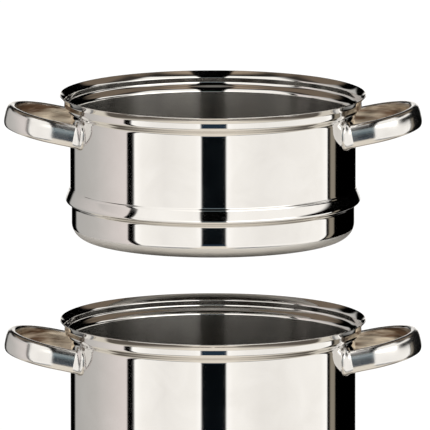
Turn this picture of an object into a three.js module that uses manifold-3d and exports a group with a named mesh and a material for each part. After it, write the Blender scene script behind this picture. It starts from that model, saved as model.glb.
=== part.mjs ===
import * as THREE from "three";
import { mergeVertices } from "three/addons/utils/BufferGeometryUtils.js";
import Module from "manifold-3d";

// A couscous steamer in two vessels: a deep pot, and a steamer with a perforated floor that seats in it.
// Millimetres, +Z up. The origin is the middle of the underside of the pot's base, handles are along X.

// Both vessels are drawn from the same sheet to the same diameter. Heights are to the lip's outer edge.
const WALL_RADIUS = 120;
const SHEET = 0.8;
const POT_HEIGHT = 180;
const POT_CORNER = 14;
const STEAMER_HEIGHT = 121;
const STEAMER_CORNER = 13;

// Rim, from the wall up: a step outwards, an upright ring and a flared lip.
const STEP_REACH = 5;
const STEP_HEIGHT = 5.8;
const RING_HEIGHT = 3.6;
const LIP_REACH = 4;
const LIP_HEIGHT = 6.2;
const LIP_BEND = 1.2;

// Pressed bead of the steamer: its lower flank beds on the step of the pot's rim, and its long shoulder
// runs in to a small crease at the wall.
const SEAT_CLEARANCE = 0.4;
const BEAD_FOOT = 26.4;
const BEAD_CROWN = 0.6;
const BEAD_SHOULDER = 9.6;
const BEAD_BEND = 1.2;
const CREASE_REACH = 1;
const CREASE_HEIGHT = 1.2;

// How far the steamer is held above the pot's lip.
const LIFTED_GAP = 70.6;

// Perforated floor, resting on a ledge turned in at the bottom of the steamer.
const LEDGE_WIDTH = 8;
const FLOOR_SHEET = 1;
const HOLE_RADIUS = 2.75;
const HOLE_PITCH = 17.5;
const HOLE_MARGIN = 3;

// Heat-spreading base under the pot: an aluminium core in a steel cap.
const CORE_THICKNESS = 5;
const CAP_SHEET = 0.8;
const CAP_CORNER = 2.4;
const CAP_INSET = 1.5;

// Loop handles: a thick strap of flattened round section, tilted up from two flared feet on the wall.
const STRAP_HEIGHT = 19.3;
const STRAP_THICKNESS = 9;
const STRAP_SQUARENESS = 2.8;
const HANDLE_SPREAD = 86.8;
const HANDLE_LENGTH = 64.2;
const HANDLE_BOW = 39;
const HANDLE_TILT = THREE.MathUtils.degToRad(11.7);

// Bracket at each end of a handle: a flange hugging the wall, a short flared neck and a tenon. The strap
// joins a little below the middle of the flange.
const FLANGE_HEIGHT = 24.4;
const FLANGE_WIDTH = 17;
const FLANGE_EDGE = 1.2;
const FLANGE_SQUARENESS = 2.3;
const FLANGE_BELOW_STEP = 0.6;
const STRAP_LOWERED = 1.3;
const NECK_LENGTH = 5;
const NECK_FLARE = 2.2;
const TENON_LENGTH = 6;
const TENON_INSET = 2.2;

// Gap left between neighbouring pieces that are welded, brazed or pressed together.
const JOINT_GAP = 0.3;

// Fineness of the faceted surfaces.
const TURN_SEGMENTS = 40;
const CURVE_STEPS = 4;
const SECTION_POINTS = 12;
const LOOP_STEPS = 22;
const NECK_STEPS = 3;
const HOLE_SIDES = 6;

const RING_RADIUS = WALL_RADIUS + STEP_REACH;
const LIP_RADIUS = RING_RADIUS + LIP_REACH;
const RIM_HEIGHT = STEP_HEIGHT + RING_HEIGHT + LIP_HEIGHT;
const SEAT_OFFSET = SHEET + SEAT_CLEARANCE;
const SKIRT_RADIUS = WALL_RADIUS - SEAT_OFFSET;
const BASE_HEIGHT = CAP_SHEET + CORE_THICKNESS + 2 * JOINT_GAP;
const HANDLE_DROP = RIM_HEIGHT + FLANGE_BELOW_STEP + FLANGE_HEIGHT / 2;
const ARM_OFFSET = HANDLE_SPREAD / 2;
const FOOT_ANGLE = Math.asin(ARM_OFFSET / WALL_RADIUS);
const FOOT_X = WALL_RADIUS * Math.cos(FOOT_ANGLE);

const wasm = await Module();
wasm.setup();

const polishedSteel = new THREE.MeshStandardMaterial({ color: 0xc9c5be, metalness: 1, roughness: 0.1 });
const satinSteel = new THREE.MeshStandardMaterial({ color: 0xb9b6b0, metalness: 1, roughness: 0.35 });
const aluminium = new THREE.MeshStandardMaterial({ color: 0xc4c6c8, metalness: 1, roughness: 0.45 });

function toSolid(geometry) {
  geometry.deleteAttribute("normal");
  geometry.deleteAttribute("uv");
  const merged = mergeVertices(geometry);
  const vertProperties = merged.attributes.position.array;
  const triVerts = new Uint32Array(merged.index.array);
  return new wasm.Manifold(new wasm.Mesh({ numProp: 3, vertProperties, triVerts }));
}

function toGeometry(solid) {
  const { vertProperties, triVerts } = solid.getMesh();
  const geometry = new THREE.BufferGeometry();
  geometry.setAttribute("position", new THREE.BufferAttribute(vertProperties, 3));
  geometry.setIndex(new THREE.BufferAttribute(triVerts, 1));
  geometry.computeVertexNormals();
  return geometry;
}

// Joins stretches of an outline end to end, dropping the point that two stretches share.
function chain(...stretches) {
  const points = [];
  for (const point of stretches.flat()) {
    const last = points.at(-1);
    if (!last || last.distanceTo(point) > 1e-6) {
      points.push(point);
    }
  }
  return points;
}

// Moves an open outline sideways, to the left of its direction of travel, by an even distance.
function offset(points, distance) {
  return points.map((point, i) => {
    const before = points[Math.max(i - 1, 0)];
    const after = points[Math.min(i + 1, points.length - 1)];
    const arriving = point.clone().sub(before).normalize();
    const leaving = after.clone().sub(point).normalize();
    const along = arriving.clone().add(leaving).normalize();
    const mitre = distance / Math.max(along.dot(arriving), along.dot(leaving));
    return new THREE.Vector2(point.x - along.y * mitre, point.y + along.x * mitre);
  });
}

// Closed section of a sheet whose outer face follows the outline.
function sheetSection(outer, thickness) {
  const section = [...outer, ...offset(outer, thickness).reverse()];
  return outer[0].x > 0 ? [...section, outer[0]] : section;
}

function revolve(profile) {
  return new THREE.LatheGeometry(profile, TURN_SEGMENTS).rotateX(Math.PI / 2);
}

// S-shaped change of radius, upright at both ends.
function sweepOut(radius, height, reach, rise) {
  const middle = height + rise / 2;
  return new THREE.CubicBezierCurve(
    new THREE.Vector2(radius, height),
    new THREE.Vector2(radius, middle),
    new THREE.Vector2(radius + reach, middle),
    new THREE.Vector2(radius + reach, height + rise),
  ).getPoints(CURVE_STEPS);
}

function corner(radius, floor, bend) {
  const arc = new THREE.EllipseCurve(radius - bend, floor + bend, bend, bend, -Math.PI / 2, 0);
  return arc.getPoints(CURVE_STEPS);
}

// Outer face of the rim that both vessels share, up to a lip at the given height.
function rimOutline(top) {
  const ringFoot = top - LIP_HEIGHT - RING_HEIGHT;
  const lip = new THREE.QuadraticBezierCurve(
    new THREE.Vector2(RING_RADIUS, top - LIP_HEIGHT),
    new THREE.Vector2(RING_RADIUS, top - LIP_HEIGHT + LIP_BEND),
    new THREE.Vector2(LIP_RADIUS, top),
  );
  const step = sweepOut(WALL_RADIUS, ringFoot - STEP_HEIGHT, STEP_REACH, STEP_HEIGHT);
  return chain(step, lip.getPoints(CURVE_STEPS));
}

function potOutline() {
  const middle = new THREE.Vector2(0, BASE_HEIGHT);
  return chain([middle], corner(WALL_RADIUS, BASE_HEIGHT, POT_CORNER), rimOutline(POT_HEIGHT));
}

// Skirt and bead run parallel to the wall, step and ring of the pot, so that the bead beds on the step.
function seatOutline() {
  const skirtFoot = new THREE.Vector2(WALL_RADIUS, STEAMER_CORNER);
  const crownTop = new THREE.Vector2(RING_RADIUS, BEAD_FOOT + STEP_HEIGHT + BEAD_CROWN);
  const step = sweepOut(WALL_RADIUS, BEAD_FOOT, STEP_REACH, STEP_HEIGHT);
  return offset(chain([skirtFoot], step, [crownTop]), SEAT_OFFSET);
}

function steamerOutline() {
  const ledge = new THREE.Vector2(SKIRT_RADIUS - STEAMER_CORNER - LEDGE_WIDTH, 0);
  const seat = seatOutline();
  const crownTop = seat.at(-1);
  const crease = new THREE.Vector2(WALL_RADIUS + CREASE_REACH, crownTop.y + BEAD_SHOULDER);
  const shoulder = new THREE.QuadraticBezierCurve(
    crownTop,
    new THREE.Vector2(crownTop.x, crownTop.y + BEAD_BEND),
    crease,
  ).getPoints(CURVE_STEPS);
  const wallFoot = new THREE.Vector2(WALL_RADIUS, crease.y + CREASE_HEIGHT);
  const skirt = chain([ledge], corner(SKIRT_RADIUS, 0, STEAMER_CORNER), seat);
  return chain(skirt, shoulder, [wallFoot], rimOutline(STEAMER_HEIGHT));
}

// Disc with rings of round holes, six more in each ring than in the one inside it.
function perforatedFloor() {
  const radius = SKIRT_RADIUS - STEAMER_CORNER - JOINT_GAP;
  const rings = Math.floor((radius - LEDGE_WIDTH - HOLE_MARGIN - HOLE_RADIUS) / HOLE_PITCH);
  const disc = new THREE.Shape();
  disc.absarc(0, 0, radius, 0, 2 * Math.PI);
  for (let ring = 0; ring <= rings; ring += 1) {
    const count = Math.max(6 * ring, 1);
    for (let k = 0; k < count; k += 1) {
      const angle = (2 * Math.PI * k) / count;
      const hole = new THREE.Path();
      const x = ring * HOLE_PITCH * Math.cos(angle);
      const y = ring * HOLE_PITCH * Math.sin(angle);
      hole.setFromPoints(circlePoints(x, y, HOLE_RADIUS, HOLE_SIDES));
      disc.holes.push(hole);
    }
  }
  const settings = { depth: FLOOR_SHEET, bevelEnabled: false, curveSegments: TURN_SEGMENTS / 2 };
  return new THREE.ExtrudeGeometry(disc, settings);
}

function circlePoints(x, y, radius, sides) {
  return new THREE.EllipseCurve(x, y, radius, radius).getPoints(sides).slice(0, sides);
}

// Flattened round section, from an ellipse at squareness 2 towards a rectangle as it grows.
function flatRound(width, height, squareness) {
  return Array.from({ length: SECTION_POINTS }, (_, k) => {
    const angle = (2 * Math.PI * (k + 0.5)) / SECTION_POINTS;
    const side = Math.sign(Math.cos(angle)) * Math.abs(Math.cos(angle)) ** (2 / squareness);
    const rise = Math.sign(Math.sin(angle)) * Math.abs(Math.sin(angle)) ** (2 / squareness);
    return new THREE.Vector2((side * width) / 2, (rise * height) / 2);
  });
}

// Skins a row of sections with equal counts of points and closes both ends.
function loft(sections) {
  const count = sections[0].length;
  const triangles = [];
  for (let j = 1; j < count - 1; j += 1) {
    const last = (sections.length - 1) * count;
    triangles.push(0, j + 1, j, last, last + j, last + j + 1);
  }
  for (let i = 0; i < sections.length - 1; i += 1) {
    for (let j = 0; j < count; j += 1) {
      const a = i * count + j;
      const b = i * count + ((j + 1) % count);
      triangles.push(a, b, a + count, b, b + count, a + count);
    }
  }
  const geometry = new THREE.BufferGeometry().setFromPoints(sections.flat());
  geometry.setIndex(triangles);
  return geometry;
}

function placeSection(section, centre, side, up) {
  return section.map((p) => centre.clone().addScaledVector(side, p.x).addScaledVector(up, p.y));
}

// Plug along an arm of the handle, starting at the end of the neck, in the plane of the loop.
function armPlug(armSide, section, start, end) {
  const side = new THREE.Vector3(0, 1, 0);
  const up = new THREE.Vector3(0, 0, 1);
  const ends = [start, end].map((x) => new THREE.Vector3(x, armSide * ARM_OFFSET, 0));
  return toSolid(loft(ends.map((centre) => placeSection(section, centre, side, up))));
}

// Loop in its own plane, X pointing away from the wall: two straight arms and a rounded bow.
function handleLoop() {
  const armStart = NECK_LENGTH + JOINT_GAP;
  const bowEnd = HANDLE_LENGTH - STRAP_THICKNESS / 2;
  const bowStart = bowEnd - HANDLE_BOW;
  const roundness = (4 / 3) * (Math.SQRT2 - 1);
  const at = (x, y) => new THREE.Vector3(x, y, 0);
  const path = new THREE.CurvePath();
  path.add(new THREE.LineCurve3(at(armStart, -ARM_OFFSET), at(bowStart, -ARM_OFFSET)));
  path.add(new THREE.CubicBezierCurve3(
    at(bowStart, -ARM_OFFSET),
    at(bowStart + roundness * HANDLE_BOW, -ARM_OFFSET),
    at(bowEnd, -roundness * ARM_OFFSET),
    at(bowEnd, 0),
  ));
  path.add(new THREE.CubicBezierCurve3(
    at(bowEnd, 0),
    at(bowEnd, roundness * ARM_OFFSET),
    at(bowStart + roundness * HANDLE_BOW, ARM_OFFSET),
    at(bowStart, ARM_OFFSET),
  ));
  path.add(new THREE.LineCurve3(at(bowStart, ARM_OFFSET), at(armStart, ARM_OFFSET)));
  const section = new THREE.Shape(flatRound(STRAP_HEIGHT, STRAP_THICKNESS, STRAP_SQUARENESS));
  const settings = { steps: LOOP_STEPS, bevelEnabled: false, extrudePath: path };
  const strap = new THREE.ExtrudeGeometry(section, settings);
  const room = 2 * (TENON_INSET - JOINT_GAP);
  const socket = flatRound(STRAP_THICKNESS - room, STRAP_HEIGHT - room, STRAP_SQUARENESS);
  const socketEnd = NECK_LENGTH + TENON_LENGTH + JOINT_GAP;
  let loop = toSolid(strap);
  for (const armSide of [-1, 1]) {
    loop = loop.subtract(armPlug(armSide, socket, NECK_LENGTH - JOINT_GAP, socketEnd));
  }
  return toGeometry(loop);
}

// Bracket at one end of a handle: a neck that flares from the strap's section to a flange cut to the wall.
function handleBracket(armSide, wallForm) {
  const angle = armSide * FOOT_ANGLE;
  const wallNormal = new THREE.Vector3(Math.cos(angle), Math.sin(angle), 0);
  const wallSide = new THREE.Vector3(-Math.sin(angle), Math.cos(angle), 0);
  const wallUp = new THREE.Vector3(0, 0, 1);
  const armAlong = new THREE.Vector3(Math.cos(HANDLE_TILT), 0, Math.sin(HANDLE_TILT));
  const armUp = new THREE.Vector3(-Math.sin(HANDLE_TILT), 0, Math.cos(HANDLE_TILT));
  const armSideways = new THREE.Vector3(0, 1, 0);
  const foot = wallNormal.clone().multiplyScalar(WALL_RADIUS);
  const armFoot = foot.clone().addScaledVector(wallUp, -STRAP_LOWERED);
  const neckEnd = armFoot.clone().addScaledVector(armAlong, NECK_LENGTH);
  const edge = foot.clone().addScaledVector(wallNormal, FLANGE_EDGE);
  const buriedDepth = FLANGE_WIDTH / 4;
  const buried = foot.clone().addScaledVector(wallNormal, -buriedDepth);
  const flange = flatRound(FLANGE_WIDTH, FLANGE_HEIGHT, FLANGE_SQUARENESS);
  const sections = [placeSection(flange, buried, wallSide, wallUp)];
  for (let k = 0; k <= NECK_STEPS; k += 1) {
    const along = k / NECK_STEPS;
    const flare = (1 - along) ** NECK_FLARE;
    const width = STRAP_THICKNESS + (FLANGE_WIDTH - STRAP_THICKNESS) * flare;
    const height = STRAP_HEIGHT + (FLANGE_HEIGHT - STRAP_HEIGHT) * flare;
    const squareness = STRAP_SQUARENESS + (FLANGE_SQUARENESS - STRAP_SQUARENESS) * flare;
    const centre = edge.clone().lerp(neckEnd, along);
    const side = wallSide.clone().lerp(armSideways, along).normalize();
    const up = wallUp.clone().lerp(armUp, along).normalize();
    sections.push(placeSection(flatRound(width, height, squareness), centre, side, up));
  }
  const inset = 2 * TENON_INSET;
  const tenon = flatRound(STRAP_THICKNESS - inset, STRAP_HEIGHT - inset, STRAP_SQUARENESS);
  const tenonEnd = neckEnd.clone().addScaledVector(armAlong, TENON_LENGTH);
  sections.push(placeSection(tenon, neckEnd, armSideways, armUp));
  sections.push(placeSection(tenon, tenonEnd, armSideways, armUp));
  return toGeometry(toSolid(loft(sections)).subtract(wallForm));
}

// Thick ring of the vessel's outer form near the handles, a joint gap larger, for cutting the flanges to it.
// Its height is measured from the middle of the flanges.
function wallForm() {
  const wallFoot = new THREE.Vector2(WALL_RADIUS, -HANDLE_DROP - FLANGE_HEIGHT);
  const outer = offset(chain([wallFoot], rimOutline(0)), -JOINT_GAP);
  const boreRadius = FOOT_X / 2;
  const section = [new THREE.Vector2(boreRadius, wallFoot.y), ...outer, new THREE.Vector2(boreRadius, 0)];
  const form = revolve([...section, section[0]]);
  return toSolid(form.translate(0, 0, HANDLE_DROP));
}

function addPiece(group, name, geometry, material) {
  const mesh = new THREE.Mesh(geometry, material);
  mesh.name = name;
  group.add(mesh);
  return mesh;
}

// Two handles with two brackets each, on the vessel whose lip is at the given height.
function addHandles(vessel, prefix, lipHeight) {
  const form = wallForm();
  for (const [turn, hand] of [[0, "right"], [Math.PI, "left"]]) {
    const mount = new THREE.Group();
    mount.position.z = lipHeight - HANDLE_DROP;
    mount.rotation.z = turn;
    vessel.add(mount);
    const loop = addPiece(mount, `${prefix}_handle_${hand}`, handleLoop(), polishedSteel);
    loop.position.set(FOOT_X, 0, -STRAP_LOWERED);
    loop.rotation.y = -HANDLE_TILT;
    for (const armSide of [-1, 1]) {
      const end = (armSide < 0) === (hand === "right") ? "front" : "back";
      addPiece(mount, `${prefix}_bracket_${hand}_${end}`, handleBracket(armSide, form), polishedSteel);
    }
  }
}

function buildPot() {
  const pot = new THREE.Group();
  addPiece(pot, "pot_shell", revolve(sheetSection(potOutline(), SHEET)), polishedSteel);

  const capRadius = WALL_RADIUS - POT_CORNER - CAP_INSET;
  const capTop = new THREE.Vector2(capRadius, BASE_HEIGHT - JOINT_GAP);
  const capOutline = chain([new THREE.Vector2(0, 0)], corner(capRadius, 0, CAP_CORNER), [capTop]);
  addPiece(pot, "pot_base_cap", revolve(sheetSection(capOutline, CAP_SHEET)), satinSteel);

  const coreRadius = capRadius - CAP_SHEET - JOINT_GAP;
  const coreChamfer = CAP_CORNER;
  const coreFoot = CAP_SHEET + JOINT_GAP;
  const coreTop = coreFoot + CORE_THICKNESS;
  const core = [
    new THREE.Vector2(0, coreFoot),
    new THREE.Vector2(coreRadius - coreChamfer, coreFoot),
    new THREE.Vector2(coreRadius, coreFoot + coreChamfer),
    new THREE.Vector2(coreRadius, coreTop),
    new THREE.Vector2(0, coreTop),
  ];
  addPiece(pot, "pot_base_core", revolve(core), aluminium);
  addHandles(pot, "pot", POT_HEIGHT);
  return pot;
}

function buildSteamer() {
  const steamer = new THREE.Group();
  addPiece(steamer, "steamer_shell", revolve(sheetSection(steamerOutline(), SHEET)), polishedSteel);
  const floor = addPiece(steamer, "steamer_floor", perforatedFloor(), satinSteel);
  floor.position.z = SHEET + JOINT_GAP;
  addHandles(steamer, "steamer", STEAMER_HEIGHT);
  return steamer;
}

const couscousSteamer = new THREE.Group();
const steamer = buildSteamer();
steamer.position.z = POT_HEIGHT + LIFTED_GAP;
couscousSteamer.add(buildPot(), steamer);

export default couscousSteamer;
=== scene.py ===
import math

import bmesh
import bpy
from mathutils import Matrix, Vector
from mathutils.geometry import interpolate_bezier


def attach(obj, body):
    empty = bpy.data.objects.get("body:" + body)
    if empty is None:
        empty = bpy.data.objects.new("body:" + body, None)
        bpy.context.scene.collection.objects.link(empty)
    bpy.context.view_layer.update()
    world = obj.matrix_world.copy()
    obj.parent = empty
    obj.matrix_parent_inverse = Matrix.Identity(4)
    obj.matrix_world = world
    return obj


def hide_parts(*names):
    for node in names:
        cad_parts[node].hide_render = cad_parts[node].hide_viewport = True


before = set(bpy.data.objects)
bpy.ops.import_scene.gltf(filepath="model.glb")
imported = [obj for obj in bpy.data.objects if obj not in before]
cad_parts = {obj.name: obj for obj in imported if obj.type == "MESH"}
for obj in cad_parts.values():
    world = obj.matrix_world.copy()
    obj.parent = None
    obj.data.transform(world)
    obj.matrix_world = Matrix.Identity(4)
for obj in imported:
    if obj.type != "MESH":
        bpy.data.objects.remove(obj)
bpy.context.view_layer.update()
scene = bpy.context.scene
scene.view_settings.view_transform = "Standard"

# Pot shell.
# One deep-drawn stainless sheet: flat bottom, round lower corner, plain wall, then the rim, with a step for
# the steamer's bead, an upright ring and a flared lip with a rounded edge. It is mirror polished outside and
# on the rim, brushed inside and satin on the base.
MM = 0.001
SHEET = 0.8 * MM
LIP_ROUNDING = 0.3 * MM
WALL_RADIUS = 120 * MM
POT_HEIGHT = 180 * MM
POT_FLOOR = 6.4 * MM
POT_CORNER = 14 * MM
STEP_REACH, STEP_HEIGHT = 5 * MM, 8.4 * MM
RING_HEIGHT = 3.2 * MM
LIP_REACH, LIP_HEIGHT = 4 * MM, 5.4 * MM
LIP_BEND = 1.2 * MM
RING_RADIUS = WALL_RADIUS + STEP_REACH
RIM_HEIGHT = STEP_HEIGHT + RING_HEIGHT + LIP_HEIGHT
STRAIGHT_RUN = 0.5 * MM
CURVE_POINTS = 18
SPIN_STEPS = 192
QUARTER_PULL = 0.5523
KNEE_PULL = 2 / 3
MERGE_DISTANCE = 1e-6
EDGE_SEGMENTS = 3
EDGE_ANGLE = math.radians(50)
RIM_FINISH, BASE_FINISH = 2, 4
STEEL_LIGHT = (0.745, 0.735, 0.722, 1)
STEEL_DARK = (0.7, 0.688, 0.672, 1)
# Tones of the brushed inside, darker than the polished outside of the same sheet: painted shade of the
# vessels' interiors.
INSIDE_PAINTED_SHADE_LIGHT = (0.44, 0.43, 0.41, 1)
INSIDE_PAINTED_SHADE_DARK = (0.39, 0.38, 0.36, 1)
SATIN_LIGHT = (0.78, 0.77, 0.75, 1)
SATIN_DARK = (0.66, 0.65, 0.63, 1)
BASE_FACING = -0.29
WALL_RIPPLE = 0.00001
POLISH_DEPTH = 2e-7
TURNED_DEPTH = 3e-6
CLOUDS = {"Scale": 13, "Detail": 3}
SMEARS = {"Scale": 31, "Detail": 6, "Distortion": 0.8}
POLISH_LINES = {"Scale": 1, "Detail": 2}
TURNED_RINGS = {"Scale": 1400, "Detail": 3}
DULL_PATCHES = {"Scale": 22, "Detail": 4}
RING_SHARE = 0.6
SMEAR_LOW, SMEAR_HIGH = 0.3, 0.75
TURNED_LOW, TURNED_HIGH = 0.3, 0.7
POLISH_DULLED, BRUSHING_DULLED = 1.5, 1.06
TURNED_BRIGHT, TURNED_DULL = 0.8, 1.25
BRUSHED_ROUND = 0.25
VESSEL_LINES = (25, 25, 2200)
VESSEL_ROUGHNESS, INSIDE_ROUGHNESS, SATIN_ROUGHNESS = 0.045, 0.18, 0.52


def at(radius, height):
    return Vector((radius, 0, height))


def swept_out(radius, height, reach, rise):
    """S-shaped change of radius, upright at both ends."""
    start, end = at(radius, height), at(radius + reach, height + rise)
    pull = at(0, rise / 2)
    return interpolate_bezier(start, start + pull, end - pull, end, CURVE_POINTS)


def round_corner(radius, floor, bend):
    """Quarter circle from a flat bottom to an upright wall, with a short straight run at each end."""
    pull = bend * QUARTER_PULL
    start, end = at(radius - bend, floor), at(radius, floor + bend)
    arc = interpolate_bezier(start, start + at(pull, 0), end - at(0, pull), end, CURVE_POINTS)
    return [start - at(STRAIGHT_RUN, 0), *arc, end + at(0, STRAIGHT_RUN)]


def leaned(foot, bend, edge):
    """Curve that leaves its foot upright, bends at the given height and runs on to its edge."""
    knee = foot + at(0, bend)
    leaving, arriving = foot.lerp(knee, KNEE_PULL), edge.lerp(knee, KNEE_PULL)
    return interpolate_bezier(foot, leaving, arriving, edge, CURVE_POINTS)


def rim_outline(top):
    """Outer face of the rim that both vessels share, from the wall up to the lip's edge."""
    wall_end = at(WALL_RADIUS, top - RIM_HEIGHT)
    step = swept_out(WALL_RADIUS, wall_end.z, STEP_REACH, STEP_HEIGHT)
    lip = leaned(at(RING_RADIUS, top - LIP_HEIGHT), LIP_BEND, at(RING_RADIUS + LIP_REACH, top))
    return [wall_end - at(0, STRAIGHT_RUN), *step, *lip]


def turned_sheet(outline):
    """Surface of revolution about the vessel's axis, facing outwards."""
    bm = bmesh.new()
    verts = [bm.verts.new(point) for point in outline]
    edges = [bm.edges.new(pair) for pair in zip(verts, verts[1:])]
    bmesh.ops.spin(
        bm, geom=verts + edges, cent=(0, 0, 0), axis=(0, 0, 1), angle=math.tau, steps=SPIN_STEPS,
        use_merge=True
    )
    bmesh.ops.remove_doubles(bm, verts=bm.verts, dist=MERGE_DISTANCE)
    bmesh.ops.recalc_face_normals(bm, faces=bm.faces)
    underside = min(bm.faces, key=lambda face: face.calc_center_median().z)
    if underside.normal.z > 0:
        bmesh.ops.reverse_faces(bm, faces=bm.faces)
    return bm


def mark_finishes(bm, foot, top):
    """Sets the rim, polished on both faces, and the satin base with its rounded edge apart from the wall."""
    for face in bm.faces:
        height = face.calc_center_median().z
        if height > top - RIM_HEIGHT:
            face.material_index = RIM_FINISH
        elif height < foot + POT_CORNER and face.normal.z < BASE_FACING:
            face.material_index = BASE_FINISH


def add_piece(name, bm, *materials):
    """Links a finished mesh to the scene with smooth faces."""
    for face in bm.faces:
        face.smooth = True
    mesh = bpy.data.meshes.new(name)
    bm.to_mesh(mesh)
    bm.free()
    for material in materials:
        mesh.materials.append(material)
    piece = bpy.data.objects.new(name, mesh)
    scene.collection.objects.link(piece)
    return piece


def thicken(piece, thickness, rounding):
    """Gives a sheet its thickness on the inside and rounds its cut edges."""
    wall = piece.modifiers.new("sheet", "SOLIDIFY")
    wall.thickness = thickness
    wall.offset = -1
    wall.use_even_offset = True
    wall.material_offset = 1
    edge = piece.modifiers.new("edge", "BEVEL")
    edge.width = rounding
    edge.segments = EDGE_SEGMENTS
    edge.limit_method = "ANGLE"
    edge.angle_limit = EDGE_ANGLE


def shade(tree, kind, inputs, **settings):
    """Adds a node whose inputs are plain values or other nodes' outputs."""
    node = tree.nodes.new("ShaderNode" + kind)
    for name, value in settings.items():
        setattr(node, name, value)
    for socket, value in inputs.items():
        if isinstance(value, bpy.types.NodeSocket):
            tree.links.new(value, node.inputs[socket])
        else:
            node.inputs[socket].default_value = value
    return node


def remapped(tree, value, start, end, first, last):
    """Runs from the first to the last number as the value goes from start to end."""
    limits = {"Value": value, "From Min": start, "From Max": end, "To Min": first, "To Max": last}
    return shade(tree, "MapRange", limits).outputs["Result"]


def two_tone(tree, factor, first, second, start=0.3, end=0.7):
    """Runs from one colour to another as the factor goes from start to end."""
    ramp = shade(tree, "ValToRGB", {0: factor})
    low, high = ramp.color_ramp.elements
    low.position, low.color = start, first
    high.position, high.color = end, second
    return ramp.outputs["Color"]


def bare_metal(name):
    """Metal material, with its node tree, its shader and the object's own coordinates."""
    material = bpy.data.materials.new(name)
    material.use_nodes = True
    tree = material.node_tree
    metal = tree.nodes["Principled BSDF"]
    metal.inputs["Metallic"].default_value = 1
    return material, tree, metal, shade(tree, "TexCoord", {}).outputs["Object"]


def noise(tree, place, settings):
    """Soft random pattern, from 0 to 1."""
    return shade(tree, "TexNoise", {"Vector": place, **settings}).outputs["Fac"]


def raised(tree, height):
    """Normal of a surface with the given height on it, in metres."""
    return shade(tree, "Bump", {"Height": height, "Strength": 1, "Distance": 1}).outputs["Normal"]


def polished_steel(name, line_scale, ripple, roughness):
    """Mirror-polished stainless steel: faint polishing lines, soft smears and a slightly uneven sheet."""
    material, tree, steel, place = bare_metal(name)
    cloud = noise(tree, place, CLOUDS)
    smear = noise(tree, place, SMEARS)
    stretched = shade(tree, "Mapping", {"Vector": place, "Scale": line_scale}).outputs["Vector"]
    lines = noise(tree, stretched, POLISH_LINES)
    gloss = remapped(tree, smear, SMEAR_LOW, SMEAR_HIGH, roughness, roughness * POLISH_DULLED)
    waves = shade(tree, "Math", {0: cloud, 1: ripple}, operation="MULTIPLY").outputs[0]
    height = shade(tree, "Math", {0: lines, 1: POLISH_DEPTH, 2: waves}, operation="MULTIPLY_ADD").outputs[0]
    tree.links.new(two_tone(tree, smear, STEEL_DARK, STEEL_LIGHT), steel.inputs["Base Color"])
    tree.links.new(gloss, steel.inputs["Roughness"])
    tree.links.new(raised(tree, height), steel.inputs["Normal"])
    return material


def brushed_steel_painted_shade(name, roughness):
    """Inside of a vessel, brushed round and round: the fine lines draw reflections out up and down. Its
    tone, much darker than the polished outside of the same sheet, is painted shade of the interior; the
    random variation between its two tones is real.
    """
    material, tree, steel, place = bare_metal(name)
    smear = noise(tree, place, SMEARS)
    gloss = remapped(tree, smear, SMEAR_LOW, SMEAR_HIGH, roughness, roughness * BRUSHING_DULLED)
    round_about = shade(
        tree, "VectorMath", {0: (0, 0, 1), 1: place}, operation="CROSS_PRODUCT"
    ).outputs["Vector"]
    steel.inputs["Anisotropic"].default_value = 1
    steel.inputs["Anisotropic Rotation"].default_value = BRUSHED_ROUND
    tree.links.new(two_tone(tree, smear, INSIDE_PAINTED_SHADE_DARK, INSIDE_PAINTED_SHADE_LIGHT), steel.inputs["Base Color"])
    tree.links.new(gloss, steel.inputs["Roughness"])
    tree.links.new(round_about, steel.inputs["Tangent"])
    return material


def turned_metal(name, dark, light, roughness):
    """Lathe-turned satin finish: fine rings about the vessel's axis, with dull patches between them."""
    material, tree, metal, place = bare_metal(name)
    flat = shade(tree, "Mapping", {"Vector": place, "Scale": (1, 1, 0)}).outputs["Vector"]
    radius = shade(tree, "VectorMath", {0: flat}, operation="LENGTH").outputs["Value"]
    across = shade(tree, "CombineXYZ", {"X": radius}).outputs["Vector"]
    rings = noise(tree, across, TURNED_RINGS)
    patches = noise(tree, place, DULL_PATCHES)
    dulled = shade(tree, "Math", {0: patches, 1: 1 - RING_SHARE}, operation="MULTIPLY").outputs[0]
    mixed = shade(tree, "Math", {0: rings, 1: RING_SHARE, 2: dulled}, operation="MULTIPLY_ADD").outputs[0]
    gloss = remapped(
        tree, mixed, TURNED_LOW, TURNED_HIGH, roughness * TURNED_BRIGHT, roughness * TURNED_DULL
    )
    depth = shade(tree, "Math", {0: rings, 1: TURNED_DEPTH}, operation="MULTIPLY").outputs[0]
    tree.links.new(two_tone(tree, mixed, dark, light), metal.inputs["Base Color"])
    tree.links.new(gloss, metal.inputs["Roughness"])
    tree.links.new(raised(tree, depth), metal.inputs["Normal"])
    return material


vessel_steel = polished_steel("vessel_steel", VESSEL_LINES, WALL_RIPPLE, VESSEL_ROUGHNESS)
inside_steel_painted_shade = brushed_steel_painted_shade("inside_steel_painted_shade", INSIDE_ROUGHNESS)
satin_steel = turned_metal("satin_steel", SATIN_DARK, SATIN_LIGHT, SATIN_ROUGHNESS)
# Outer and inner face in turn, of the wall, the rim and the base.
shell_finish = vessel_steel, inside_steel_painted_shade, vessel_steel, vessel_steel, satin_steel, inside_steel_painted_shade
pot_outline = [at(0, POT_FLOOR), *round_corner(WALL_RADIUS, POT_FLOOR, POT_CORNER), *rim_outline(POT_HEIGHT)]
pot_sheet = turned_sheet(pot_outline)
mark_finishes(pot_sheet, POT_FLOOR, POT_HEIGHT)
pot_shell = add_piece("pot_shell_drawn", pot_sheet, *shell_finish)
thicken(pot_shell, SHEET, LIP_ROUNDING)
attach(pot_shell, "pot")
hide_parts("pot_shell")

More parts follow.
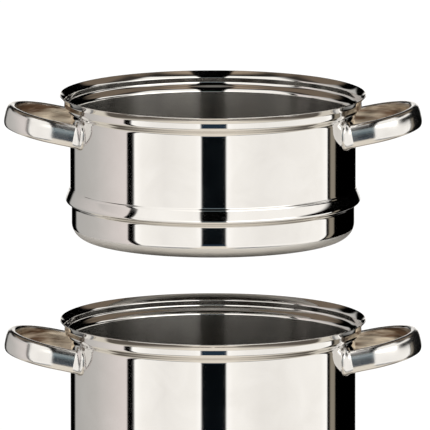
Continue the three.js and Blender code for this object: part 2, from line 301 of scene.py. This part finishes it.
# Base of the pot.
# An aluminium disc that spreads the heat, under the shell, and the satin steel cap pressed over it. The
# cap's underside is turned, which leaves fine rings.
CAP_INSET = 1.5 * MM
CAP_GAP = 0.1 * MM
CAP_RADIUS = WALL_RADIUS - POT_CORNER - CAP_INSET
CAP_TOP = POT_FLOOR - CAP_GAP
CAP_CORNER = 2.4 * MM
ALUMINIUM_LIGHT = (0.76, 0.77, 0.78, 1)
ALUMINIUM_DARK = (0.64, 0.65, 0.66, 1)
CORE_ROUGHNESS = 0.4
cap_outline = [at(0, 0), *round_corner(CAP_RADIUS, 0, CAP_CORNER), at(CAP_RADIUS, CAP_TOP)]
base_cap = add_piece("pot_base_cap_pressed", turned_sheet(cap_outline), satin_steel)
thicken(base_cap, SHEET, LIP_ROUNDING)
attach(base_cap, "pot")
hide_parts("pot_base_cap")

base_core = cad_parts["pot_base_core"]
base_core.data.materials.clear()
core_metal = turned_metal("aluminium_core", ALUMINIUM_DARK, ALUMINIUM_LIGHT, CORE_ROUGHNESS)
base_core.data.materials.append(core_metal)

# Handles of the pot.
# Two cast steel loops, a strap of flattened round section bent to a deep bow and tilted up, polished bright.
# Each end is joined to a bracket with a flared neck and a shield-shaped flange that is welded to the wall.
STRAP_HEIGHT, STRAP_THICKNESS = 19.3 * MM, 9 * MM
STRAP_SQUARENESS = 2.8
HANDLE_LENGTH = 64.2 * MM
BOW_START = 20.7 * MM
ARM_OFFSET = 43.4 * MM
HANDLE_TILT = math.radians(11.7)
FLANGE_HEIGHT, FLANGE_WIDTH = 24.4 * MM, 17 * MM
FLANGE_SQUARENESS = 2.3
FLANGE_EDGE = 1.2 * MM
FLANGE_ROUNDING = 0.5 * MM
WELD_DEPTH = 0.3 * MM
STRAP_LOWERED = 1.3 * MM
NECK_LENGTH = 5 * MM
NECK_FLARE = 2.2
NECK_RINGS = 12
FLANGE_BELOW_LIP = 16.2 * MM
HANDLE_DROP = FLANGE_BELOW_LIP + FLANGE_HEIGHT / 2
FOOT_ANGLE = math.asin(ARM_OFFSET / WALL_RADIUS)
SECTION_POINTS = 64
BOW_STEPS = 72
INNER_FACING = 0.8
# Brown tones of the loops' inner faces, dark and light in long streaks: painted reflection of brown
# surroundings.
INNER_PAINTED_REFLECTION_LIGHT = (0.86, 0.75, 0.6, 1)
INNER_PAINTED_REFLECTION_DARK = (0.2, 0.13, 0.085, 1)
INNER_REFLECTION_LOW, INNER_REFLECTION_HIGH = 0.4, 0.6
INNER_REFLECTION_STRETCH = (24, 24, 190)
INNER_REFLECTION_STREAKS = {"Scale": 1, "Detail": 4}
GRAIN = {"Scale": 900, "Detail": 2}
GRAIN_DEPTH = 0.00002
CAST_LINES = (260, 260, 260)
CAST_ROUGHNESS, INNER_ROUGHNESS = 0.14, 0.36


def flat_round(bm, width, height, squareness, placing):
    """Closed loop of edges with a flattened round outline, from an ellipse at 2 towards a rectangle."""
    made = bmesh.ops.create_circle(bm, cap_ends=False, radius=1, segments=SECTION_POINTS)
    for vert in made["verts"]:
        side = math.copysign(abs(vert.co.x) ** (2 / squareness), vert.co.x) * width / 2
        rise = math.copysign(abs(vert.co.y) ** (2 / squareness), vert.co.y) * height / 2
        vert.co = placing @ Vector((side, rise, 0))
    return list({edge for vert in made["verts"] for edge in vert.link_edges})


def axes(side, up, centre):
    """Placing for a section, from the directions of its width and height."""
    turn = Matrix((side, up, side.cross(up))).transposed().to_4x4()
    return Matrix.Translation(centre) @ turn


def close_end(bm, edges):
    """Caps an open end with one flat face and a crisp edge."""
    bmesh.ops.contextual_create(bm, geom=edges)
    for edge in edges:
        edge.smooth = False


def handle_loop():
    """Strap in its own plane, X pointing away from the wall: two straight arms and a rounded bow."""
    bm = bmesh.new()
    start = axes(Vector((0, 1, 0)), Vector((0, 0, 1)), Vector((0, -ARM_OFFSET, 0)))
    first = flat_round(bm, STRAP_THICKNESS, STRAP_HEIGHT, STRAP_SQUARENESS, start)
    swept = bmesh.ops.spin(
        bm, geom=first + list({v for e in first for v in e.verts}), cent=(0, 0, 0), axis=(0, 0, 1),
        angle=math.pi, steps=BOW_STEPS
    )
    last = [item for item in swept["geom_last"] if isinstance(item, bmesh.types.BMEdge)]
    squeeze = (HANDLE_LENGTH - BOW_START) / (ARM_OFFSET + STRAP_THICKNESS / 2)
    bmesh.ops.scale(bm, vec=(squeeze, 1, 1), verts=bm.verts)
    for ring in (first, last):
        arm = bmesh.ops.extrude_edge_only(bm, edges=ring)["geom"]
        verts = [item for item in arm if isinstance(item, bmesh.types.BMVert)]
        bmesh.ops.translate(bm, vec=(NECK_LENGTH - BOW_START, 0, 0), verts=verts)
        close_end(bm, [e for e in arm if isinstance(e, bmesh.types.BMEdge) and e.is_boundary])
    bmesh.ops.recalc_face_normals(bm, faces=bm.faces)
    # Faces turned towards the vessel take the second material, whose brown streaks are painted reflection.
    for face in bm.faces:
        middle = face.calc_center_median()
        inwards = -Vector((max(middle.x, 0) / squeeze, middle.y, 0)).normalized()
        if face.normal.dot(inwards) > INNER_FACING:
            face.material_index = 1
    bmesh.ops.translate(bm, vec=(BOW_START, 0, 0), verts=bm.verts)
    return bm


def handle_bracket(arm_side):
    """Flange that hugs the wall and the neck that narrows from it to the strap's section."""
    bm = bmesh.new()
    angle = arm_side * FOOT_ANGLE
    outwards = Vector((math.cos(angle), math.sin(angle), 0))
    wall_side = Vector((-math.sin(angle), math.cos(angle), 0))
    wall_up = Vector((0, 0, 1))
    along = Vector((math.cos(HANDLE_TILT), 0, math.sin(HANDLE_TILT)))
    arm_sideways = Vector((0, 1, 0))
    arm_up = Vector((-math.sin(HANDLE_TILT), 0, math.cos(HANDLE_TILT)))
    foot = outwards * WALL_RADIUS
    neck_end = foot + along * NECK_LENGTH - wall_up * STRAP_LOWERED
    rings = []
    for radius in (WALL_RADIUS - WELD_DEPTH, WALL_RADIUS + FLANGE_EDGE):
        ring = flat_round(bm, FLANGE_WIDTH, FLANGE_HEIGHT, FLANGE_SQUARENESS, axes(wall_side, wall_up, foot))
        for vert in {vert for edge in ring for vert in edge.verts}:
            vert.co.xy = vert.co.xy.normalized() * radius
        rings.append(ring)
    edge_foot = foot + outwards * FLANGE_EDGE
    for k in range(1, NECK_RINGS + 1):
        share = k / NECK_RINGS
        flare = (1 - share) ** NECK_FLARE
        side = wall_side.lerp(arm_sideways, share).normalized()
        up = wall_up.lerp(arm_up, share).normalized()
        rings.append(flat_round(
            bm,
            STRAP_THICKNESS + (FLANGE_WIDTH - STRAP_THICKNESS) * flare,
            STRAP_HEIGHT + (FLANGE_HEIGHT - STRAP_HEIGHT) * flare,
            STRAP_SQUARENESS + (FLANGE_SQUARENESS - STRAP_SQUARENESS) * flare,
            axes(side, up, edge_foot.lerp(neck_end, share)),
        ))
    for lower, upper in zip(rings, rings[1:]):
        bmesh.ops.bridge_loops(bm, edges=lower + upper)
    close_end(bm, rings[0])
    close_end(bm, rings[-1])
    bmesh.ops.bevel(
        bm, geom=rings[1], offset=FLANGE_ROUNDING, segments=EDGE_SEGMENTS, profile=0.5, affect="EDGES",
        material=-1
    )
    return bm


def add_handles(vessel, lip_height):
    """Two loops and four brackets on the vessel whose lip is at the given height."""
    for hand, turn in (("right", 0), ("left", math.pi)):
        mount = Matrix.Translation((0, 0, lip_height - HANDLE_DROP)) @ Matrix.Rotation(turn, 4, "Z")
        hinge = Matrix.Translation((WALL_RADIUS * math.cos(FOOT_ANGLE), 0, -STRAP_LOWERED))
        tilted = mount @ hinge @ Matrix.Rotation(-HANDLE_TILT, 4, "Y")
        made = [(f"{vessel}_handle_{hand}", handle_loop(), tilted)]
        for arm_side in (-1, 1):
            end = "front" if (arm_side < 0) == (hand == "right") else "back"
            made.append((f"{vessel}_bracket_{hand}_{end}", handle_bracket(arm_side), mount))
        for node, bm, placing in made:
            bmesh.ops.transform(bm, matrix=placing, verts=bm.verts)
            bmesh.ops.recalc_face_normals(bm, faces=bm.faces)
            piece = add_piece(f"{node}_cast", bm, cast_steel, inner_steel_painted_reflection)
            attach(piece, vessel)
            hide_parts(node)


def cast_inside_painted_reflection(name):
    """Inner face of a loop, only lightly polished after casting: softer, with a fine grain, and a brown base
    colour streaked dark and light that is painted reflection of brown surroundings.
    """
    material, tree, steel, place = bare_metal(name)
    drawn = shade(tree, "Mapping", {"Vector": place, "Scale": INNER_REFLECTION_STRETCH}).outputs["Vector"]
    patches = noise(tree, drawn, INNER_REFLECTION_STREAKS)
    grain = noise(tree, place, GRAIN)
    height = shade(tree, "Math", {0: grain, 1: GRAIN_DEPTH}, operation="MULTIPLY").outputs[0]
    # Brown streaked base colour: painted reflection of brown surroundings, not the steel's own tone.
    colour = two_tone(tree, patches, INNER_PAINTED_REFLECTION_DARK, INNER_PAINTED_REFLECTION_LIGHT, INNER_REFLECTION_LOW, INNER_REFLECTION_HIGH)
    steel.inputs["Roughness"].default_value = INNER_ROUGHNESS
    tree.links.new(colour, steel.inputs["Base Color"])
    tree.links.new(raised(tree, height), steel.inputs["Normal"])
    return material


cast_steel = polished_steel("cast_steel", CAST_LINES, WALL_RIPPLE / 2, CAST_ROUGHNESS)
inner_steel_painted_reflection = cast_inside_painted_reflection("inner_steel_painted_reflection")
add_handles("pot", POT_HEIGHT)

# Steamer shell.
# The same sheet and rim as the pot. Its skirt goes down into the pot, and the lower flank of the pressed
# bead beds on the step of the pot's rim. A ledge turned in at the bottom carries the floor.
STEAMER_FOOT = 250.6 * MM
STEAMER_HEIGHT = 121 * MM
STEAMER_CORNER = 13 * MM
SEAT_GAP = 0.4 * MM
SKIRT_RADIUS = WALL_RADIUS - SHEET - SEAT_GAP
LEDGE_WIDTH = 8 * MM
LEDGE_RADIUS = SKIRT_RADIUS - STEAMER_CORNER - LEDGE_WIDTH
BEAD_FOOT = 26.8 * MM
BEAD_CROWN = 0.2 * MM
FLANK_HEIGHT = 5.8 * MM
BEAD_SHOULDER, BEAD_BEND = 8.6 * MM, 1.2 * MM
CREASE_REACH, CREASE_HEIGHT = 0.72 * MM, 2.4 * MM
lip_level = STEAMER_FOOT + STEAMER_HEIGHT
bead_level = STEAMER_FOOT + BEAD_FOOT
crown = at(SKIRT_RADIUS + STEP_REACH, bead_level + FLANK_HEIGHT + BEAD_CROWN)
crease = at(WALL_RADIUS + CREASE_REACH, crown.z + BEAD_SHOULDER)
steamer_outline = [
    at(LEDGE_RADIUS, STEAMER_FOOT),
    *round_corner(SKIRT_RADIUS, STEAMER_FOOT, STEAMER_CORNER),
    at(SKIRT_RADIUS, bead_level - STRAIGHT_RUN),
    *swept_out(SKIRT_RADIUS, bead_level, STEP_REACH, FLANK_HEIGHT),
    *leaned(crown, BEAD_BEND, crease),
    *swept_out(crease.x, crease.z, -CREASE_REACH, CREASE_HEIGHT),
    at(WALL_RADIUS, crease.z + CREASE_HEIGHT + STRAIGHT_RUN),
    *rim_outline(lip_level),
]
steamer_sheet = turned_sheet(steamer_outline)
mark_finishes(steamer_sheet, STEAMER_FOOT, lip_level)
steamer_shell = add_piece("steamer_shell_drawn", steamer_sheet, *shell_finish)
thicken(steamer_shell, SHEET, LIP_ROUNDING)
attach(steamer_shell, "steamer")
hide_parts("steamer_shell")

# Steamer floor.
# A flat stainless disc punched with rings of round holes that let the steam up. It lies on the ledge of the
# shell, and has a soft polish, with the holes' edges rounded.
FLOOR_SHEET = 1 * MM
FLOOR_GAP = 0.3 * MM
FLOOR_RADIUS = SKIRT_RADIUS - STEAMER_CORNER - FLOOR_GAP
FLOOR_TOP = STEAMER_FOOT + SHEET + FLOOR_GAP + FLOOR_SHEET
HOLE_RADIUS, HOLE_PITCH = 2.75 * MM, 17.5 * MM
HOLE_RINGS = 5
HOLES_MORE_PER_RING = 6
HOLE_SIDES = 16
HOLE_ROUNDING = 0.2 * MM
FLOOR_LINES = (300, 300, 300)
FLOOR_ROUGHNESS = 0.12
bm = bmesh.new()
bmesh.ops.create_circle(bm, cap_ends=False, radius=FLOOR_RADIUS, segments=SPIN_STEPS)
for ring in range(HOLE_RINGS + 1):
    count = max(HOLES_MORE_PER_RING * ring, 1)
    for k in range(count):
        turn = Matrix.Rotation(math.tau * k / count, 4, "Z")
        spot = turn @ Matrix.Translation((ring * HOLE_PITCH, 0, 0))
        bmesh.ops.create_circle(bm, cap_ends=False, radius=HOLE_RADIUS, segments=HOLE_SIDES, matrix=spot)
bmesh.ops.triangle_fill(bm, use_beauty=True, edges=bm.edges)
bmesh.ops.translate(bm, vec=(0, 0, FLOOR_TOP), verts=bm.verts)
bmesh.ops.recalc_face_normals(bm, faces=bm.faces)
bmesh.ops.reverse_faces(bm, faces=[face for face in bm.faces if face.normal.z < 0])
floor_steel = polished_steel("floor_steel", FLOOR_LINES, WALL_RIPPLE, FLOOR_ROUGHNESS)
steamer_floor = add_piece("steamer_floor_punched", bm, floor_steel)
thicken(steamer_floor, FLOOR_SHEET, HOLE_ROUNDING)
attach(steamer_floor, "steamer")
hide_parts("steamer_floor")

# Handles of the steamer.
# The same loops and brackets as on the pot, at the same height below the lip.
add_handles("steamer", lip_level)

# Table and studio.
# A plain white floor. The camera and the floor see an even white surround. The polished steel sees the
# studio: a cream table, white screens with a dark gap in front, a grey screen on the left and a brown roof.
# Each ring of colours is by the angle in degrees from the front, positive to the right.
FLOOR_HALF = 40
FLOOR_WHITE = (0.55, 0.55, 0.55, 1)
FLOOR_LIFT = 0.5
BOUNCES = 24
HALF_TURN, QUARTER_TURN = 180, 90
BLACK, DUSK, DIM = (0, 0, 0), (0.05, 0.042, 0.035), (0.13, 0.11, 0.092)
GLARE, WHITE, SOFT = (1.4, 1.38, 1.34), (1.24, 1.21, 1.16), (1.13, 1.1, 1.055)
BRIGHT, BRIGHTEST = (1.8, 1.76, 1.68), (2.6, 2.55, 2.45)
GREY, ASH = (0.53, 0.52, 0.5), (0.66, 0.635, 0.61)
PALE, CREAM = (0.95, 0.87, 0.84), (0.98, 0.9, 0.78)
BEIGE, BROWN = (0.33, 0.29, 0.23), (0.42, 0.33, 0.245)
UMBER, SOOT = (0.2, 0.155, 0.115), (0.03, 0.027, 0.022)
INK, NAVY = (0.002, 0.003, 0.004), (0.02, 0.038, 0.062)
TEAL, SLATE = (0.12, 0.18, 0.22), (0.28, 0.34, 0.36)
FULL = (1, 1, 1)
SLIT = ((-74, PALE), (-73.2, BLACK), (-67.6, BLACK))
SCREENS = (
    (-180, SOFT), (-177, GREY), (-171, BLACK), (-152, BLACK), (-148, GREY), (-110, ASH), *SLIT,
    (-66.8, GLARE), (-60, WHITE), (-40, SOFT), (-14, WHITE), (-9, GLARE), (10, GLARE), (16, WHITE),
    (40, SOFT), (98, WHITE), (105.5, GLARE), (106.3, BLACK), (109.5, BLACK), (110.3, BEIGE),
    (116.5, BEIGE), (118, BLACK), (171, BLACK), (177, GREY), (180, SOFT),
)
MIDDLE = (
    (-152, BLACK), (-148, GREY), *SLIT, (-66.8, SOFT), (-40, WHITE), (-10, BRIGHT), (10, BRIGHTEST),
    (62, BRIGHTEST), (75, GREY), (84, BLACK),
)
ABOVE = ((-130, BLACK), (-120, GREY), *SLIT, (-66.8, WHITE), (112, WHITE), (116, BLACK))
HIGH = (
    (-150, SOOT), (-135, UMBER), (-108, UMBER), (-96, DUSK), (-85, DUSK), (-74, GREY), (-66, WHITE),
    (68, WHITE), (80, DUSK), (96, DUSK), (108, UMBER), (135, UMBER), (150, SOOT),
)
BELOW = (
    (-170, GREY), (-152, BLACK), (-140, GREY), *SLIT, (-66.8, WHITE), (105.5, WHITE), (106.3, BLACK),
    (150, BLACK), (170, GREY),
)
TABLE_SHADE, TABLE_LINE = (0.8, 0.74, 0.64), (0.3, 0.31, 0.33)
TABLE = (
    (-170, CREAM), (-150, DIM), (-120, DIM), (-80, TABLE_SHADE), (-50, CREAM), (50, CREAM),
    (80, TABLE_SHADE), (120, DIM), (150, DIM), (170, CREAM),
)
SKIRTING = (
    (-85, TABLE_SHADE), (-60, TABLE_LINE), (-24, TABLE_LINE), (-14, CREAM), (14, CREAM), (24, TABLE_LINE),
    (60, TABLE_LINE), (85, TABLE_SHADE),
)
GAP = ((-9.6, BLACK), (-8.8, FULL), (10, FULL), (10.8, BLACK))
GAP_HEIGHTS = (
    (-24, CREAM), (-21.5, NAVY), (-12.5, NAVY), (-11, INK), (-8, INK), (-6.8, TEAL), (-1, SLATE), (5, SLATE),
    (10, BLACK),
)
WINDOW = ((-168, FULL), (-164, BLACK), (164, BLACK), (168, FULL))
WINDOW_HEIGHTS = ((-8, BLACK), (-6, FULL), (11, FULL), (13, BLACK))
CEILING = (0.2, 0.19, 0.175)
EAVES = (
    (-140, SOOT), (-125, UMBER), (-95, UMBER), (-75, SOOT), (75, SOOT), (95, UMBER), (125, UMBER),
    (140, SOOT),
)
ROOF = ((-140, SOOT), (-110, UMBER), (-70, BROWN), (70, BROWN), (110, UMBER), (140, SOOT))
# The rings from the table upwards, each with the elevations in degrees between which it takes over.
RINGS = (
    (SKIRTING, -47, -44), (BELOW, -36, -33), (SCREENS, -24, -21), (MIDDLE, 3, 5), (ABOVE, 16, 19),
    (HIGH, 26, 32), (EAVES, 52, 57), (ROOF, 62, 72),
)
CEILING_START, CEILING_END = 80, 88
bm = bmesh.new()
bmesh.ops.create_grid(bm, x_segments=1, y_segments=1, size=FLOOR_HALF)
floor_white = bpy.data.materials.new("floor_white")
floor_white.use_nodes = True
tree = floor_white.node_tree
tree.nodes.remove(tree.nodes["Principled BSDF"])
seen = shade(tree, "LightPath", {}).outputs["Is Camera Ray"]
lifted = shade(tree, "Math", {0: seen, 1: FLOOR_LIFT}, operation="MULTIPLY").outputs[0]
matt = shade(tree, "BsdfDiffuse", {"Color": FLOOR_WHITE}).outputs[0]
glow = shade(tree, "Emission", {"Color": (1, 1, 1, 1), "Strength": lifted}).outputs[0]
both = shade(tree, "AddShader", {0: matt, 1: glow}).outputs[0]
tree.links.new(both, tree.nodes["Material Output"].inputs["Surface"])
floor = add_piece("floor", bm, floor_white)
floor.visible_glossy = False

world = bpy.data.worlds.new("studio")
world.use_nodes = True
scene.world = world
tree = world.node_tree
direction = shade(tree, "TexCoord", {}).outputs["Generated"]
parts = shade(tree, "SeparateXYZ", {"Vector": direction}).outputs
towards = shade(tree, "Math", {0: parts["Y"], 1: -1}, operation="MULTIPLY").outputs[0]
azimuth = shade(tree, "Math", {0: parts["X"], 1: towards}, operation="ARCTAN2").outputs[0]
elevation = shade(tree, "Math", {0: parts["Z"]}, operation="ARCSINE").outputs[0]


def spread(angle, half_turn, stops):
    """Colour by an angle, from stops in degrees between minus and plus the half turn."""
    limit = math.radians(half_turn)
    share = remapped(tree, angle, -limit, limit, 0, 1)
    ramp = shade(tree, "ValToRGB", {0: share})
    elements = ramp.color_ramp.elements
    elements.remove(elements[-1])
    for k, (degrees, colour) in enumerate(stops):
        place = degrees / half_turn / 2 + 0.5
        stop = elements.new(place) if k else elements[0]
        stop.position = place
        stop.color = (*colour, 1)
    return ramp.outputs["Color"]


def all_round(stops):
    """Colours round the object, by the angle from the front, positive to the right."""
    return spread(azimuth, HALF_TURN, stops)


def stacked(lower, upper, start, end):
    """Changes from one surround to the next between two elevations in degrees."""
    span = {"Value": elevation, "From Min": math.radians(start), "From Max": math.radians(end)}
    share = shade(tree, "MapRange", span, interpolation_type="SMOOTHSTEP").outputs["Result"]
    return shade(tree, "Mix", {0: share, 6: lower, 7: upper}, data_type="RGBA").outputs[2]


surround = all_round(TABLE)
for ring, start, end in RINGS:
    surround = stacked(surround, all_round(ring), start, end)
window_heights = spread(elevation, QUARTER_TURN, WINDOW_HEIGHTS)
window = shade(tree, "Math", {0: all_round(WINDOW), 1: window_heights}, operation="MULTIPLY").outputs[0]
surround = shade(tree, "Mix", {0: window, 6: surround, 7: (*SOFT, 1)}, data_type="RGBA").outputs[2]
lean = shade(tree, "Math", {0: parts["X"]}, operation="ARCSINE").outputs[0]
in_front = shade(tree, "Math", {0: parts["Y"], 1: 0}, operation="LESS_THAN").outputs[0]
gap_width = spread(lean, QUARTER_TURN, GAP)
opening = shade(tree, "Math", {0: gap_width, 1: in_front}, operation="MULTIPLY").outputs[0]
gap = spread(elevation, QUARTER_TURN, GAP_HEIGHTS)
surround = shade(tree, "Mix", {0: opening, 6: surround, 7: gap}, data_type="RGBA").outputs[2]
surround = stacked(surround, (*CEILING, 1), CEILING_START, CEILING_END)
studio = shade(tree, "Background", {"Color": surround, "Strength": 1}).outputs[0]
white = shade(tree, "Background", {"Color": (1, 1, 1, 1), "Strength": 1}).outputs[0]
mirrored = shade(tree, "LightPath", {}).outputs["Is Glossy Ray"]
chosen = shade(tree, "MixShader", {0: mirrored, 1: white, 2: studio}).outputs[0]
tree.links.new(chosen, tree.nodes["World Output"].inputs["Surface"])
scene.cycles.max_bounces = BOUNCES
scene.cycles.glossy_bounces = BOUNCES

# Camera.
# A long lens a little above the pot's rim, aimed between the two vessels.
VIEW_HEIGHT = math.radians(9.4)
LENS = 1400
VIEW_END = 100
FRAME_WIDTH = 361.6 * MM
AIM = Vector((1.7 * MM, 0, 269 * MM))
camera = bpy.data.objects.new("camera", bpy.data.cameras.new("camera"))
camera.data.lens = LENS
camera.data.clip_end = VIEW_END
distance = FRAME_WIDTH * LENS / camera.data.sensor_width
camera.location = AIM + Vector((0, -math.cos(VIEW_HEIGHT), math.sin(VIEW_HEIGHT))) * distance
camera.rotation_euler = (math.pi / 2 - VIEW_HEIGHT, 0, 0)
scene.collection.objects.link(camera)
scene.camera = camera
